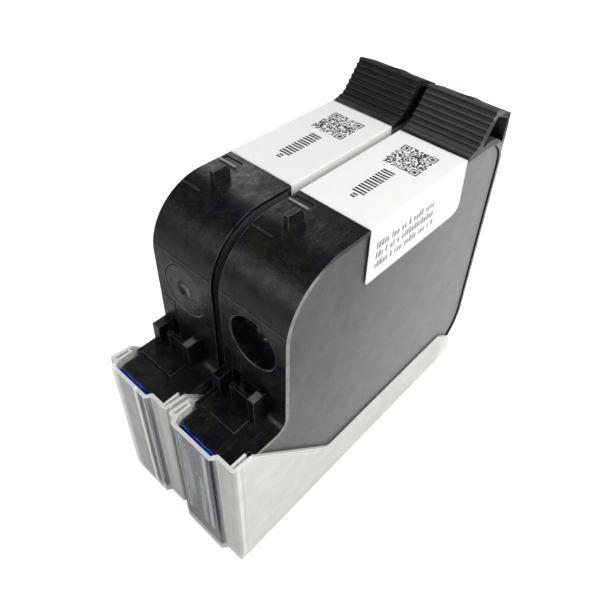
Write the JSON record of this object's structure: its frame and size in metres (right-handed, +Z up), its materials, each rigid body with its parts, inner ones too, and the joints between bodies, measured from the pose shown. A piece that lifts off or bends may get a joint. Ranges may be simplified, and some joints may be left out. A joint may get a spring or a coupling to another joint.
{
  "type": "capped inkjet print cartridge pair",
  "caption": "Slim black thermal inkjet print cartridges standing side by side, each with ribbed handle, wrap label, taped nozzles and a clear pull-off cap.",
  "frame": {"origin": "on the ground, under the middle of the pair's overall box", "axes": "+X from the left cartridge to the right one, +Y from the nozzles to the handles, +Z up from the caps' flat undersides"},
  "size_m": [0.042, 0.0946, 0.0866],
  "materials": {
    "frame_plastic": "satin, glass-filled",
    "liner_plastic": "satin",
    "cover": "fine matte",
    "film": "clear film",
    "stainless": "brushed",
    "spring_steel": "bright",
    "mesh_steel": "woven",
    "ball_steel": "polished",
    "plug_plastic": "satin",
    "silicon": "polished",
    "nickel": "gold-plated",
    "encapsulant": "gloss",
    "polyimide": "gloss",
    "gold": "plated",
    "label_paper": "satin",
    "blue_tape": "gloss",
    "clear_plastic": "lightly frosted"
  },
  "bodies": {
    "left_cartridge": {"left_frame": "frame_plastic", "left_inner_frame": "liner_plastic", "left_side_cover_a": "cover", "left_side_cover_b": "cover", "left_bag_film_a": "film", "left_bag_film_b": "film", "left_bow_spring": "spring_steel", "left_filter_screen": "mesh_steel", "left_port_plug": "plug_plastic", "left_fill_ball": "ball_steel", "left_printhead_die": "silicon", "left_nozzle_plate": "nickel", "left_encapsulant_beads": "encapsulant", "left_flex_circuit": "polyimide", "left_contact_pads": "gold", "left_label": "label_paper", "left_nozzle_tape": "blue_tape"},
    "left_pressure_plate_a": {"left_pressure_plate_a": "stainless"},
    "left_pressure_plate_b": {"left_pressure_plate_b": "stainless"},
    "left_cap": {"left_cap": "clear_plastic"},
    "right_cartridge": {"right_frame": "frame_plastic", "right_inner_frame": "liner_plastic", "right_side_cover_a": "cover", "right_side_cover_b": "cover", "right_bag_film_a": "film", "right_bag_film_b": "film", "right_bow_spring": "spring_steel", "right_filter_screen": "mesh_steel", "right_port_plug": "plug_plastic", "right_fill_ball": "ball_steel", "right_printhead_die": "silicon", "right_nozzle_plate": "nickel", "right_encapsulant_beads": "encapsulant", "right_flex_circuit": "polyimide", "right_contact_pads": "gold", "right_label": "label_paper", "right_nozzle_tape": "blue_tape"},
    "right_pressure_plate_a": {"right_pressure_plate_a": "stainless"},
    "right_pressure_plate_b": {"right_pressure_plate_b": "stainless"},
    "right_cap": {"right_cap": "clear_plastic"}
  },
  "joints": [
    {"name": "right_cartridge_part", "type": "slide", "parent": "left_cartridge", "child": "right_cartridge", "axis": [1, 0, 0], "range_m": [0, 0.05]},
    {"name": "left_cap_pull", "type": "slide", "parent": "left_cartridge", "child": "left_cap", "axis": [0, -1, 0], "range_m": [0, 0.1]},
    {"name": "left_plate_a_travel", "type": "slide", "parent": "left_cartridge", "child": "left_pressure_plate_a", "axis": [1, 0, 0], "range_m": [0, 0.0055], "stiffness_N_per_m": 45, "springref_m": -0.004, "deforming": ["left_bow_spring", "left_bag_film_a"]},
    {"name": "left_plate_b_travel", "type": "slide", "parent": "left_cartridge", "child": "left_pressure_plate_b", "axis": [-1, 0, 0], "range_m": [0, 0.0055], "deforming": ["left_bow_spring", "left_bag_film_b"]},
    {"name": "right_cap_pull", "type": "slide", "parent": "right_cartridge", "child": "right_cap", "axis": [0, -1, 0], "range_m": [0, 0.1]},
    {"name": "right_plate_a_travel", "type": "slide", "parent": "right_cartridge", "child": "right_pressure_plate_a", "axis": [1, 0, 0], "range_m": [0, 0.0055], "stiffness_N_per_m": 45, "springref_m": -0.004, "deforming": ["right_bow_spring", "right_bag_film_a"]},
    {"name": "right_plate_b_travel", "type": "slide", "parent": "right_cartridge", "child": "right_pressure_plate_b", "axis": [-1, 0, 0], "range_m": [0, 0.0055], "deforming": ["right_bow_spring", "right_bag_film_b"]}
  ],
  "couplings": [
    {"joint": "left_plate_b_travel", "follows": "left_plate_a_travel", "ratio": 1},
    {"joint": "right_plate_b_travel", "follows": "right_plate_a_travel", "ratio": 1}
  ]
}
